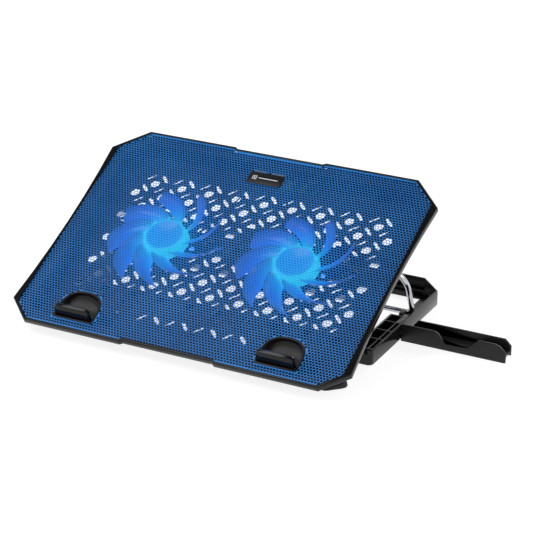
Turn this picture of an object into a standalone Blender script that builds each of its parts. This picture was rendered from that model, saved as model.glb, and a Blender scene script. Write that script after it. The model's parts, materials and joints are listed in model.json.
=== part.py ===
"""Laptop cooling pad on a fold-out stand, with a swing-out phone holder.

The pad is an eight-sided plate: a rim, a metal mesh, a deep bottom cover, two fans and two flip-up
stoppers. It is hinged near its front edge to a ring-shaped base, and a wire bail props up its rear.
All lengths below are millimetres and all angles are degrees. The desk is at z = 0.

Pad coordinates are (u, v, w): u to the right from the pad's centre, v back from its front edge,
and w up from its top face.
"""
import math

import bmesh
import bpy

MM = 0.001
GAP = 0.3

# Pad outline
PAD_LENGTH = 365.0
PAD_DEPTH = 263.0
PAD_TILT = 26.8
FRONT_CHAMFER = (24.6, 22.1)
REAR_CHAMFER = (31.6, 29.8)
SIDE_PINCH = 4.5
STRAIGHT = 0.05
RECESS_HALF = 48.0
RECESS_DEPTH = 2.0
RECESS_RAMP = 3.0

# Pad heights, measured down from the top face
RIM_HEIGHT = 6.0
RIM_WALL = 1.6
RIM_EDGE = 0.9
FLANGE_THICKNESS = 1.0
MESH_THICKNESS = 0.8
COVER_FLANGE_TOP = -4.2
COVER_DEPTH = 22.0
COVER_WALL = 2.0
COVER_DRAFT = 3.0
MESH_TOP = -FLANGE_THICKNESS - GAP
FLOOR_TOP = -COVER_DEPTH + COVER_WALL

# Hinge between the base and the pad
HINGE_V = 45.0
HINGE_DROP = 30.5
PAD_FRONT_HEIGHT = 15.0
HINGE_X = 95.0
KNUCKLE_RADIUS = 4.5
KNUCKLE_HALF = 6.5
PIN_RADIUS = 2.0
CHEEK_THICKNESS = 2.5
BRACKET_HALF = 17.0
BRACKET_SCREW_U = 13.5

# Base ring
BASE_HALF = 171.5
BASE_FRONT = 87.5
BASE_REAR = 267.3
BASE_BOTTOM = 1.0
BASE_TOP = 16.0
BASE_FLOOR = 2.6
BASE_WALL = 2.0
ARM_INNER = 152.0
BAR_DEPTH = 20.0
BASE_CORNER = 24.0
BASE_CORNER_RADIUS = 5.0
CHAMFER_WALL = 1.2
DECK_FRONT = 157.5
DECK_REAR = 175.5
RACK_FRONT = 177.5
RACK_X = (158.4, 162.8)
RACK_STOP_TOP = 15.8
REAR_BAR_FRONT = 246.5
REAR_LIP_HEIGHT = 3.5
RIB_THICKNESS = 1.4
RIB_SPACING = 20.5
CHANNEL_RIB_X = 165.4

# Wire bail
BAIL_V = 176.0
BAIL_DROP = 30.0
BAIL_FOOT = (194.0, 10.5)
BAIL_FOLDED_ANGLE = 4.5
WIRE_RADIUS = 2.7
BAIL_HALF = 166.4
SHOULDER_RADIUS = 30.0
BAIL_CORNER_RADIUS = 9.0
CLIP_POSITIONS = (-100.0, 0.0, 100.0)

# Phone holder
HOLDER_PIVOT = (184.0, 161.7)
HOLDER_FRONT = 151.5
HOLDER_DEPTH = 20.5
HOLDER_START = 172.8
HOLDER_END = 279.6
HOLDER_WALL = 2.0
HOLDER_PIN_RADIUS = 3.0
LUG_TOP = 3.5
LUG_RADIUS = 6.5

# Fans
FAN_U = 72.0
FAN_V = 138.0
FAN_RADIUS = 60.0
HUB_RADIUS = 23.0
HUB_TOP_RADIUS = 20.4
HUB_WALL = 1.8
HUB_TOP = -4.0
HUB_BOTTOM = -16.4
BLADE_COUNT = 9
BLADE_SWEEP = 42.0
BLADE_THICKNESS = 1.5
BLADE_HIGH = -3.8
BLADE_LOW = -16.9

# Stoppers, ports and small parts
STOPPER_U = 109.5
STOPPER_AXIS = (16.6, -3.5)
STOPPER_HEIGHT = 11.2
POCKET_FLOOR = -8.5
PORT_U = (-18.0, 2.0)
BUTTON_U = (24.0, 40.0)
BOARD_TOP = -18.0

TILT = math.radians(PAD_TILT)
HINGE_Y = HINGE_V * math.cos(TILT) + HINGE_DROP * math.sin(TILT)
HINGE_Z = PAD_FRONT_HEIGHT + HINGE_V * math.sin(TILT) - HINGE_DROP * math.cos(TILT)
CENTRE_X = (HOLDER_END - PAD_LENGTH / 2) / 2
CENTRE_Y = (BASE_REAR + RIM_EDGE * math.sin(TILT)) / 2


# ---------------------------------------------------------------- shapes as (vertices, faces)

def loft(loops, ring=False):
    """Join loops of equal length, closed into a ring or capped at both ends."""
    count = len(loops[0])
    vertices = [point for loop in loops for point in loop]
    faces = []
    last = len(loops) if ring else len(loops) - 1
    for i in range(last):
        a = i * count
        b = ((i + 1) % len(loops)) * count
        for j in range(count):
            k = (j + 1) % count
            faces.append((a + j, a + k, b + k, b + j))
    if not ring:
        faces.append(tuple(reversed(range(count))))
        faces.append(tuple(range((len(loops) - 1) * count, len(loops) * count)))
    return vertices, faces


def prism(outline, low, high, axis="z"):
    """Extrude a flat outline; axis names the direction of the extrusion."""
    order = {"z": lambda p, h: (p[0], p[1], h),
             "x": lambda p, h: (h, p[0], p[1]),
             "y": lambda p, h: (p[0], h, p[1])}[axis]
    return loft([[order(p, h) for p in outline] for h in (low, high)])


def box(x, y, z):
    """A block from three (low, high) pairs."""
    corners = [(x[0], y[0]), (x[1], y[0]), (x[1], y[1]), (x[0], y[1])]
    return prism(corners, z[0], z[1])


def circle(centre, radius, count=16, start=0.0):
    """Points of a circle, counter-clockwise."""
    angles = [start + 2 * math.pi * i / count for i in range(count)]
    return [(centre[0] + radius * math.cos(a), centre[1] + radius * math.sin(a)) for a in angles]


def arc(centre, radius, first, last, count):
    """Points of an arc between two angles in degrees, both ends included."""
    points = []
    for i in range(count + 1):
        angle = math.radians(first + (last - first) * i / count)
        points.append((centre[0] + radius * math.cos(angle), centre[1] + radius * math.sin(angle)))
    return points


def turned(profile, count=24, centre=(0.0, 0.0)):
    """Solid of revolution about Z from a profile of (radius, height) that starts and ends at radius 0."""
    loops = [[(x, y, z) for x, y in circle(centre, r, count)] for r, z in profile[1:-1]]
    vertices, faces = loft(loops)
    faces = faces[:-2]
    for (_, z), loop, flip in ((profile[0], 0, True), (profile[-1], len(loops) - 1, False)):
        tip = len(vertices)
        vertices.append((centre[0], centre[1], z))
        for j in range(count):
            edge = (loop * count + j, loop * count + (j + 1) % count)
            faces.append((edge[1], edge[0], tip) if flip else (edge[0], edge[1], tip))
    return vertices, faces


def washer(inner, outer, low, high, count=24, centre=(0.0, 0.0)):
    """A flat ring standing on the plane z = low."""
    corners = ((inner, low), (outer, low), (outer, high), (inner, high))
    loops = [[(x, y, z) for x, y in circle(centre, r, count)] for r, z in corners]
    return loft(loops, ring=True)


def combine(*shapes):
    """Put several shapes into one vertex and face list."""
    vertices, faces = [], []
    for shape in shapes:
        offset = len(vertices)
        vertices.extend(shape[0])
        faces.extend(tuple(index + offset for index in face) for face in shape[1])
    return vertices, faces


def mirrored(shape):
    """The same shape on the other side of x = 0."""
    vertices, faces = shape
    return [(-x, y, z) for x, y, z in vertices], [tuple(reversed(face)) for face in faces]


def inset(outline, distances):
    """Move each edge of a counter-clockwise outline inwards by its own distance."""
    count = len(outline)
    lines = []
    for i in range(count):
        (x0, y0), (x1, y1) = outline[i], outline[(i + 1) % count]
        length = math.hypot(x1 - x0, y1 - y0)
        dx, dy = (x1 - x0) / length, (y1 - y0) / length
        lines.append((x0 - dy * distances[i], y0 + dx * distances[i], dx, dy))
    points = []
    for i in range(count):
        x0, y0, dx0, dy0 = lines[i - 1]
        x1, y1, dx1, dy1 = lines[i]
        cross = dx0 * dy1 - dy0 * dx1
        if abs(cross) < 1e-6:
            points.append((x1, y1))
            continue
        t = ((x1 - x0) * dy1 - (y1 - y0) * dx1) / cross
        points.append((x0 + t * dx0, y0 + t * dy0))
    return points


# ---------------------------------------------------------------- Blender objects

def material(name, colour, roughness, metallic=0.0):
    """A Principled material with one colour."""
    found = bpy.data.materials.get(name)
    if found:
        return found
    made = bpy.data.materials.new(name)
    made.use_nodes = True
    shader = made.node_tree.nodes["Principled BSDF"]
    shader.inputs["Base Color"].default_value = (*colour, 1.0)
    shader.inputs["Roughness"].default_value = roughness
    shader.inputs["Metallic"].default_value = metallic
    return made


MATERIALS = {
    "gloss_black": ((0.012, 0.012, 0.014), 0.16, 0.0),
    "satin_black": ((0.03, 0.03, 0.032), 0.42, 0.0),
    "mesh_blue": ((0.03, 0.17, 0.48), 0.4, 0.6),
    "chrome": ((0.8, 0.8, 0.82), 0.08, 1.0),
    "steel": ((0.55, 0.55, 0.56), 0.3, 1.0),
    "rubber": ((0.02, 0.02, 0.02), 0.8, 0.0),
    "fan_blue": ((0.05, 0.25, 0.9), 0.35, 0.0),
    "copper": ((0.7, 0.32, 0.14), 0.4, 1.0),
    "brass": ((0.75, 0.55, 0.25), 0.35, 1.0),
    "board_green": ((0.02, 0.16, 0.07), 0.5, 0.0),
    "led_white": ((0.8, 0.9, 1.0), 0.3, 0.0),
    "wire_black": ((0.015, 0.015, 0.015), 0.5, 0.0),
}


def empty(name, location, parent=None, tilt=0.0):
    """A named pivot that carries a group of parts."""
    made = bpy.data.objects.new(name, None)
    bpy.context.scene.collection.objects.link(made)
    made.location = [value * MM for value in location]
    made.rotation_euler = (tilt, 0.0, 0.0)
    made.parent = parent
    return made


def solid(name, shape, finish, parent, at=(0.0, 0.0, 0.0)):
    """Make a part from a shape, with every face pointing out."""
    mesh = bpy.data.meshes.new(name)
    mesh.from_pydata([tuple(c * MM for c in v) for v in shape[0]], [], shape[1])
    work = bmesh.new()
    work.from_mesh(mesh)
    bmesh.ops.recalc_face_normals(work, faces=work.faces)
    work.to_mesh(mesh)
    work.free()
    mesh.shade_smooth()
    mesh.set_sharp_from_angle(angle=math.radians(35))
    made = bpy.data.objects.new(name, mesh)
    bpy.context.scene.collection.objects.link(made)
    made.location = [value * MM for value in at]
    made.parent = parent
    mesh.materials.append(material(finish, *MATERIALS[finish]))
    return made


def tool(name, shape, parent, at=(0.0, 0.0, 0.0)):
    """A shape used only to cut or extend a part."""
    made = solid(name, shape, "satin_black", parent, at)
    made.hide_render = True
    made.display_type = "WIRE"
    return made


def combine_with(part, other, operation):
    """Add a Boolean modifier; the solver stays EXACT."""
    modifier = part.modifiers.new(operation.lower(), "BOOLEAN")
    modifier.operation = operation
    modifier.object = other


def tube(name, points, radius, finish, parent, at=(0.0, 0.0, 0.0), closed=False, resolution=2):
    """A wire along the given points."""
    curve = bpy.data.curves.new(name, "CURVE")
    curve.dimensions = "3D"
    curve.bevel_depth = radius * MM
    curve.bevel_resolution = resolution
    curve.use_fill_caps = not closed
    spline = curve.splines.new("POLY")
    spline.points.add(len(points) - 1)
    for target, point in zip(spline.points, points):
        target.co = (*[value * MM for value in point], 1.0)
    spline.use_cyclic_u = closed
    made = bpy.data.objects.new(name, curve)
    bpy.context.scene.collection.objects.link(made)
    made.location = [value * MM for value in at]
    made.parent = parent
    curve.materials.append(material(finish, *MATERIALS[finish]))
    return made


# ---------------------------------------------------------------- pad shell

def pad_outline(front, side, rear, front_corner, rear_corner, recess=True, pinch_depth=SIDE_PINCH):
    """The pad's outline, each kind of edge moved inwards by its own distance."""
    half = PAD_LENGTH / 2
    steps = 6
    low, high = FRONT_CHAMFER[1], PAD_DEPTH - REAR_CHAMFER[1]
    pinch = []
    for i in range(steps + 1):
        t = -1 + 2 * i / steps
        pinch.append((half - pinch_depth * (1 - t * t), low + (high - low) * i / steps))
    notch = []
    if recess:
        notch = [(-RECESS_HALF - RECESS_RAMP, 0.0), (-RECESS_HALF, RECESS_DEPTH),
                 (RECESS_HALF, RECESS_DEPTH), (RECESS_HALF + RECESS_RAMP, 0.0)]
    points = [(-half + FRONT_CHAMFER[0], 0.0)] + notch + [(half - FRONT_CHAMFER[0], 0.0)]
    distances = [front] * (len(points) - 1) + [front_corner]
    points += pinch
    distances += [side] * steps + [rear_corner]
    points += [(half - REAR_CHAMFER[0], PAD_DEPTH)]
    points += [(u, PAD_DEPTH - v) for u, v in reversed(notch)]
    points += [(-half + REAR_CHAMFER[0], PAD_DEPTH)]
    distances += [rear] * (len(notch) + 1) + [rear_corner]
    points += [(-u, v) for u, v in reversed(pinch)]
    distances += [side] * steps + [front_corner]
    return inset(points, distances)


def at_height(outline, w):
    """Lift a flat outline to one height."""
    return [(u, v, w) for u, v in outline]


def make_top_frame(parent, at):
    """Rim with a thin top flange that holds the mesh down."""
    opening = pad_outline(2.6, 7.5, 2.6, 3.4, 3.4, pinch_depth=STRAIGHT)
    wall = [RIM_WALL] * 5
    loops = [at_height(pad_outline(0, 0, 0, 0, 0), -RIM_EDGE),
             at_height(pad_outline(0, 0, 0, 0, 0), -RIM_HEIGHT),
             at_height(pad_outline(*wall), -RIM_HEIGHT),
             at_height(pad_outline(*wall), -FLANGE_THICKNESS),
             at_height(opening, -FLANGE_THICKNESS),
             at_height(opening, 0.0),
             at_height(pad_outline(*[RIM_EDGE] * 5), 0.0)]
    return solid("top_frame", loft(loops, ring=True), "gloss_black", parent, at)


def pocket_outline(grow=0.0):
    """Outline of a stopper's pocket: flat at the front and domed at the rear."""
    side = [(20.5, 12.5), (21.6, 18.0), (21.2, 30.0), (16.5, 40.5), (8.0, 46.0)]
    points = side + [(-u, v) for u, v in reversed(side)]
    return inset(points, [-grow] * len(points))


def shifted(outline, offset):
    """Move a flat outline sideways."""
    return [(u + offset, v) for u, v in outline]


def make_mesh_panel(parent, at):
    """Sheet-metal grille under the flange, with a cut-out for each stopper's pocket."""
    edge = RIM_WALL + GAP
    outline = pad_outline(edge, edge, edge, edge, edge)
    panel = solid("mesh_panel", prism(outline, MESH_TOP - MESH_THICKNESS, MESH_TOP), "mesh_blue",
                  parent, at)
    holes = [prism(shifted(pocket_outline(GAP), u), MESH_TOP - 3, MESH_TOP + 3)
             for u in (-STOPPER_U, STOPPER_U)]
    combine_with(panel, tool("mesh_cut", combine(*holes), parent, at), "DIFFERENCE")
    return panel


def cover_insets(extra):
    """Insets of the deep part of the bottom cover."""
    return (14 + extra, 14 + extra, 12 + extra, 10.5 + extra, 10.5 + extra)


def make_bottom_cover(parent, at):
    """Tray with a flange round its top and windows in its rear wall."""
    flange = pad_outline(4.2, 2.2, 4.2, 2.2, 2.2, recess=False)
    sections = [(pad_outline(*cover_insets(COVER_DRAFT + COVER_WALL), recess=False), FLOOR_TOP),
                (pad_outline(*cover_insets(COVER_WALL), recess=False), COVER_FLANGE_TOP),
                (flange, COVER_FLANGE_TOP),
                (flange, -RIM_HEIGHT),
                (pad_outline(*cover_insets(0), recess=False), -RIM_HEIGHT),
                (pad_outline(*cover_insets(COVER_DRAFT), recess=False), -COVER_DEPTH)]
    cover = solid("bottom_cover", loft([at_height(o, w) for o, w in sections]), "satin_black",
                  parent, at)
    lips = []
    for u0, u1, v0, v1 in ((52.0, 156.0, 1.9, 5.4), (52.0, 149.0, PAD_DEPTH - 5.4, PAD_DEPTH - 1.9)):
        for a, b in ((u0, u1), (-u1, -u0)):
            lips.append(box((a, b), (v0, v1), (-RIM_HEIGHT + 0.2, COVER_FLANGE_TOP - 0.2)))
    combine_with(cover, tool("cover_lips", combine(*lips), parent, at), "UNION")
    windows = [box((u - 7.2, u + 7.2), (244, 254), (-18.2, -11.4)) for u in PORT_U]
    windows += [box((u - 3.9, u + 3.9), (244, 254), (-17.2, -11.8)) for u in BUTTON_U]
    for x in (-HINGE_X, HINGE_X):
        for offset in (-BRACKET_SCREW_U, BRACKET_SCREW_U):
            hole = circle((x + offset, HINGE_V), 1.7, 8)
            windows.append(prism(hole, -COVER_DEPTH - 2, FLOOR_TOP + 2))
    for u in (-STOPPER_U, STOPPER_U):
        windows.append(prism(shifted(pocket_outline(GAP), u), POCKET_FLOOR - 1.6, COVER_FLANGE_TOP + 2))
    combine_with(cover, tool("cover_cut", combine(*windows), parent, at), "DIFFERENCE")
    return cover


def make_pad_feet(parent, at):
    """Rubber blocks under the front corners whose soles lie flat on the desk when the pad is raised."""
    corner = math.atan2(FRONT_CHAMFER[1], FRONT_CHAMFER[0])
    along = (math.cos(corner), math.sin(corner))
    outline = arc((7, 0), 6.0, -90, 90, 6) + arc((-7, 0), 6.0, 90, 270, 6)
    for side, name in ((-1, "left"), (1, "right")):
        top, sole = [], []
        for a, b in outline:
            u = 158.0 + a * along[0] - b * along[1]
            v = 24.6 + a * along[1] + b * along[0]
            drop = (PAD_FRONT_HEIGHT + v * math.sin(TILT)) / math.cos(TILT)
            top.append((side * u, v, -COVER_DEPTH - GAP))
            sole.append((side * u, v, -drop))
        solid("pad_foot_" + name, loft([top, sole]), "rubber", parent, at)


def make_hinge(side, name, parent, at):
    """Bracket on the pad, its two screws and the hinge pin."""
    x = side * HINGE_X
    plate = box((x - BRACKET_HALF, x + BRACKET_HALF), (HINGE_V - 8, HINGE_V + 8),
                (-COVER_DEPTH - GAP - 2, -COVER_DEPTH - GAP))
    bracket = solid("hinge_bracket_" + name, plate, "satin_black", parent, at)
    low = KNUCKLE_HALF + 0.5
    top = -COVER_DEPTH - GAP - 1
    cheek = [(HINGE_V + KNUCKLE_RADIUS, top), (HINGE_V - KNUCKLE_RADIUS, top)]
    cheek += arc((HINGE_V, -HINGE_DROP), KNUCKLE_RADIUS, 180, 360, 8)
    cheeks = [prism(cheek, x + s * low, x + s * (low + CHEEK_THICKNESS), "x") for s in (-1, 1)]
    combine_with(bracket, tool("cheeks_" + name, combine(*cheeks), parent, at), "UNION")
    bore = prism(circle((HINGE_V, -HINGE_DROP), PIN_RADIUS + GAP, 16), x - 20, x + 20, "x")
    holes = [prism(circle((x + s * BRACKET_SCREW_U, HINGE_V), 1.7, 8), -30, -20) for s in (-1, 1)]
    combine_with(bracket, tool("bores_" + name, combine(bore, *holes), parent, at), "DIFFERENCE")
    reach = low + CHEEK_THICKNESS + 0.8
    pin = prism(circle((HINGE_V, -HINGE_DROP), PIN_RADIUS, 16), x - reach, x + reach, "x")
    solid("hinge_pin_" + name, pin, "steel", parent, at)
    head = -COVER_DEPTH - 2 * GAP - 2
    screw = [(0, FLOOR_TOP + 1.5), (1.3, FLOOR_TOP + 1.5), (1.3, head), (2.8, head),
             (2.8, head - 1.0), (1.8, head - 1.8), (0, head - 1.8)]
    for s, place in ((-1, "a"), (1, "b")):
        shape = turned(screw, 12, (x + s * BRACKET_SCREW_U, HINGE_V))
        solid("bracket_screw_" + name + "_" + place, shape, "steel", parent, at)


def make_bail_clips(parent, at):
    """Three lugs under the pad that hold the bail's top bar."""
    count = 20
    radius = WIRE_RADIUS + GAP + 2.4
    rise = -COVER_DEPTH - GAP + BAIL_DROP
    for u, name in zip(CLIP_POSITIONS, ("left", "middle", "right")):
        outer, inner = [], []
        for i in range(count):
            angle = 2 * math.pi * i / count
            a, b = math.cos(angle), math.sin(angle)
            reach = radius
            if b > 0:
                reach = min(radius / max(abs(a), 1e-6), rise / b)
            outer.append((BAIL_V + reach * a, -BAIL_DROP + reach * b))
            inner.append((BAIL_V + (WIRE_RADIUS + GAP) * a, -BAIL_DROP + (WIRE_RADIUS + GAP) * b))
        loops = [[(u - 7, v, w) for v, w in inner], [(u - 7, v, w) for v, w in outer],
                 [(u + 7, v, w) for v, w in outer], [(u + 7, v, w) for v, w in inner]]
        solid("bail_clip_" + name, loft(loops, ring=True), "satin_black", parent, at)


# ---------------------------------------------------------------- stoppers

def make_stopper(side, name, parent, at):
    """Pocket, flip-up stopper and its pin."""
    u = side * STOPPER_U
    sections = [(pocket_outline(-1.2), POCKET_FLOOR), (pocket_outline(-1.2), -0.3),
                (pocket_outline(1.2), -0.3), (pocket_outline(1.2), -1.0),
                (pocket_outline(0.0), -1.0), (pocket_outline(0.0), POCKET_FLOOR - 1.3)]
    loops = [at_height(shifted(outline, u), w) for outline, w in sections]
    solid("stopper_pocket_" + name, loft(loops), "satin_black", parent, at)
    pivot = empty("stopper_axis_" + name,
                  (u, STOPPER_AXIS[0] - HINGE_V, STOPPER_AXIS[1] + HINGE_DROP), parent)
    top = STOPPER_HEIGHT - STOPPER_AXIS[1]
    flap = [(1.4, -2.2), (2.2, -1.4), (2.2, top - 5.2), (4.2, top - 3.0), (4.2, top - 1.2),
            (2.4, top), (-0.2, top - 0.6), (-1.8, top - 2.6), (-2.3, top - 5.6), (-2.2, -1.4),
            (-1.4, -2.2)]
    loops = []
    for x, lift in ((-18.8, 0.9), (-16.0, 1.0), (16.0, 1.0), (18.8, 0.9)):
        loops.append([(x, v, w * lift) for v, w in flap])
    body = solid("stopper_" + name, loft(loops), "gloss_black", pivot)
    bore = prism(circle((0, 0), 1.0 + GAP, 12), -25, 25, "x")
    combine_with(body, tool("stopper_bore_" + name, bore, pivot), "DIFFERENCE")
    pin = prism(circle(STOPPER_AXIS, 1.0, 12), u - 19.8, u + 19.8, "x")
    solid("stopper_pin_" + name, pin, "steel", parent, at)


# ---------------------------------------------------------------- fans

def blade_section(index, radius):
    """Leading and trailing angle of one blade at one radius."""
    t = (radius - HUB_TOP_RADIUS) / (FAN_RADIUS - HUB_TOP_RADIUS)
    centre = index * 360.0 / BLADE_COUNT + BLADE_SWEEP * t ** 1.2
    half_width = 7.0 + 2.6 * math.sin(math.pi * t) - 0.8 * t ** 3
    half = math.degrees(half_width / radius)
    return centre - half, centre + half


def make_blades():
    """All the blades: steep swept plates, high at the leading edge, that reach into the hub."""
    blades = []
    radii = [HUB_TOP_RADIUS - 0.4, 28, 37, 47, 55, FAN_RADIUS]
    chord = 3
    for index in range(BLADE_COUNT):
        loops = []
        for radius in radii:
            start, end = blade_section(index, max(radius, HUB_TOP_RADIUS))
            upper, lower = [], []
            for j in range(chord + 1):
                s = j / chord
                angle = math.radians(start + (end - start) * s)
                w = BLADE_HIGH + (BLADE_LOW - BLADE_HIGH) * s
                x, y = radius * math.cos(angle), radius * math.sin(angle)
                upper.append((x, y, w + BLADE_THICKNESS / 2))
                lower.append((x, y, w - BLADE_THICKNESS / 2))
            loops.append(upper + lower[::-1])
        blades.append(loft(loops))
    return combine(*blades)


def stator_outline(radius_out, radius_in, count=32):
    """Four winding poles as one outline."""
    points = []
    for i in range(count):
        angle = 2 * math.pi * i / count
        quarter = abs((math.degrees(angle) + 45) % 90 - 45)
        radius = radius_out if quarter < 30 else radius_in
        points.append((radius * math.cos(angle), radius * math.sin(angle)))
    return points


def make_fan(side, name, parent, at):
    """Rotor on its own pivot; bearing, stator, board, lights and lead on the cover."""
    centre = (side * FAN_U, FAN_V)
    pivot = empty("fan_axis_" + name, (centre[0], centre[1] - HINGE_V, HINGE_DROP), parent)
    inner, roof = HUB_RADIUS - HUB_WALL, HUB_TOP - HUB_WALL
    cup = [(0, HUB_TOP), (HUB_TOP_RADIUS - 1.2, HUB_TOP), (HUB_TOP_RADIUS, HUB_TOP - 1.2),
           (HUB_RADIUS, HUB_BOTTOM), (inner, HUB_BOTTOM), (HUB_TOP_RADIUS - HUB_WALL, roof), (0, roof)]
    rotor = solid("fan_rotor_" + name, turned(cup, 36), "fan_blue", pivot)
    combine_with(rotor, tool("blades_" + name, make_blades(), pivot), "UNION")
    shaft = prism(circle((0, 0), 1.5, 12), FLOOR_TOP + 1.2, roof - GAP)
    solid("fan_shaft_" + name, shaft, "steel", pivot)
    low = FLOOR_TOP + GAP
    solid("fan_bearing_" + name, washer(1.8, 4.0, low, -7.5, 16, centre), "brass", parent, at)
    outer = [(centre[0] + x, centre[1] + y) for x, y in stator_outline(16.0, 8.5)]
    bore = circle(centre, 4.0 + GAP, 32)
    loops = [at_height(bore, -14.6), at_height(outer, -14.6), at_height(outer, -8.2),
             at_height(bore, -8.2)]
    solid("fan_stator_" + name, loft(loops, ring=True), "copper", parent, at)
    board = washer(4.0 + GAP, 17.0, -17.4, -16.0, 24, centre)
    solid("motor_board_" + name, board, "board_green", parent, at)
    for s, place in ((-1, "a"), (1, "b")):
        x = centre[0] + s * 27.0
        lamp = box((x - 2, x + 2), (FAN_V - 2, FAN_V + 2), (low, low + 1.5))
        solid("led_" + name + "_" + place, lamp, "led_white", parent, at)
    start, bend, end = (side * 53.0, 150.0), (side * 30.0, 190.0), (side * 22.0 - 2.0, 232.0)
    route = []
    steps = 16
    for i in range(steps + 1):
        t = i / steps
        mix = ((1 - t) ** 2, 2 * t * (1 - t), t * t)
        route.append(tuple(sum(m * p[k] for m, p in zip(mix, (start, bend, end))) for k in (0, 1)))
    points = [(u, v, FLOOR_TOP + 1.1) for u, v in route]
    tube("fan_lead_" + name, points, 0.8, "wire_black", parent, at)


# ---------------------------------------------------------------- control board

def make_controls(parent, at):
    """Board with two sockets and two push switches behind the rear wall."""
    board = box((-28, 48), (234, 246), (BOARD_TOP - 1.4, BOARD_TOP))
    solid("control_board", board, "board_green", parent, at)
    low, high = BOARD_TOP + GAP, BOARD_TOP + GAP + 5.8
    for u, name in zip(PORT_U, ("left", "right")):
        loops = []
        for grow, v in ((0.0, 235.5), (0.0, 249.2), (-0.7, 249.2), (-0.7, 239.0)):
            x0, x1 = u - 6.6 - grow, u + 6.6 + grow
            loops.append([(x0, v, low - grow), (x1, v, low - grow), (x1, v, high + grow),
                          (x0, v, high + grow)])
        solid("usb_socket_" + name, loft(loops), "steel", parent, at)
    for u, name in zip(BUTTON_U, ("fan", "light")):
        switch = box((u - 3, u + 3), (236, 241.5), (low, low + 4.5))
        solid(name + "_switch", switch, "satin_black", parent, at)
        pivot = empty(name + "_button_axis", (u, -HINGE_V, HINGE_DROP), parent)
        outline = [(-3.5, -16.4), (3.5, -16.4), (3.5, -12.6), (2.7, -12.2), (-2.7, -12.2),
                   (-3.5, -12.6)]
        solid(name + "_button", prism(outline, 242.6, 250.6, "y"), "satin_black", pivot)


def make_badge(parent, at):
    """Plain name plate on the mesh."""
    low = MESH_TOP + GAP
    outline = [(-19, 220.5), (17, 220.5), (18, 221.5), (18, 234.5), (17, 235.5), (-19, 235.5),
               (-20, 234.5), (-20, 221.5)]
    solid("badge", prism(outline, low, low + 0.8), "satin_black", parent, at)


# ---------------------------------------------------------------- base

def base_outline():
    """Outer outline of the base ring."""
    r = BASE_CORNER_RADIUS
    right = arc((BASE_HALF - r, BASE_FRONT + r), r, -90, 0, 4)
    right += [(BASE_HALF, BASE_REAR - BASE_CORNER), (BASE_HALF - BASE_CORNER, BASE_REAR)]
    return right + [(-x, y) for x, y in reversed(right)]


def base_opening():
    """Inner outline of the base ring."""
    front = BASE_FRONT + BAR_DEPTH
    rear = REAR_BAR_FRONT
    right = [(ARM_INNER, front), (ARM_INNER, rear)]
    points = right + [(-x, y) for x, y in reversed(right)]
    return points


def channel_cells():
    """Open cells between the ribs of one arm; the inner lane runs on beside the deck."""
    cells = []
    top = BASE_TOP + 4
    lanes = ((ARM_INNER + BASE_WALL, CHANNEL_RIB_X - 0.6), (CHANNEL_RIB_X + 0.6, BASE_HALF - BASE_WALL))
    first = BASE_FRONT + 5.5
    edges = [first] + [115.8 + RIB_SPACING * i for i in range(3)]
    for near, far in zip(edges, edges[1:]):
        for lane in lanes:
            cells.append(box(lane, (near + RIB_THICKNESS / 2, far - RIB_THICKNESS / 2),
                             (BASE_FLOOR, top)))
    cells.append(box(lanes[0], (DECK_FRONT, DECK_REAR - 4.0), (BASE_FLOOR, top)))
    return cells


def rear_channel():
    """Open channel that runs round the rear of the ring, from one arm's deck to the other's."""
    half = BASE_HALF - BASE_WALL
    inner = ARM_INNER - 8
    chamfer = math.sqrt(2) * CHAMFER_WALL - BASE_WALL
    lane = CHANNEL_RIB_X - 0.6
    right = [(inner, REAR_BAR_FRONT + BASE_WALL), (inner, DECK_REAR - 2.4), (lane, DECK_REAR - 2.4),
             (lane, RACK_FRONT), (half, RACK_FRONT),
             (half, BASE_REAR - BASE_CORNER - chamfer),
             (BASE_HALF - BASE_CORNER - chamfer, BASE_REAR - BASE_WALL)]
    return prism(right + [(-x, y) for x, y in reversed(right)], BASE_FLOOR, BASE_TOP + 4)


def front_channel():
    """Open cells of the front bar, split by ribs."""
    cells = []
    pitch = 36.0
    near, far = BASE_FRONT + BASE_WALL, BASE_FRONT + BAR_DEPTH - BASE_WALL
    for i in range(8):
        left = -144.0 + i * pitch
        cells.append(box((left + 0.8, left + pitch - 0.8), (near, far), (BASE_FLOOR, BASE_TOP + 4)))
    return cells


def hinge_arm(x):
    """Arm from the front bar to the hinge, with its knuckle."""
    profile = [(BASE_FRONT + 1.0, 2.0), (BASE_FRONT + 1.0, 12.0), (HINGE_Y + 6, 12.0)]
    profile += arc((HINGE_Y, HINGE_Z), KNUCKLE_RADIUS, 60, 270, 10)
    return prism(profile, x - KNUCKLE_HALF, x + KNUCKLE_HALF, "x")


def holder_lug():
    """Tongue at the foot of the right arm that carries the phone holder's pin."""
    outline = [(BASE_HALF - 1.0, HOLDER_PIVOT[1] - LUG_RADIUS)]
    outline += arc(HOLDER_PIVOT, LUG_RADIUS, -90, 90, 10)
    outline += [(BASE_HALF - 1.0, HOLDER_PIVOT[1] + LUG_RADIUS)]
    return prism(outline, BASE_BOTTOM + 0.2, LUG_TOP)


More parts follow.
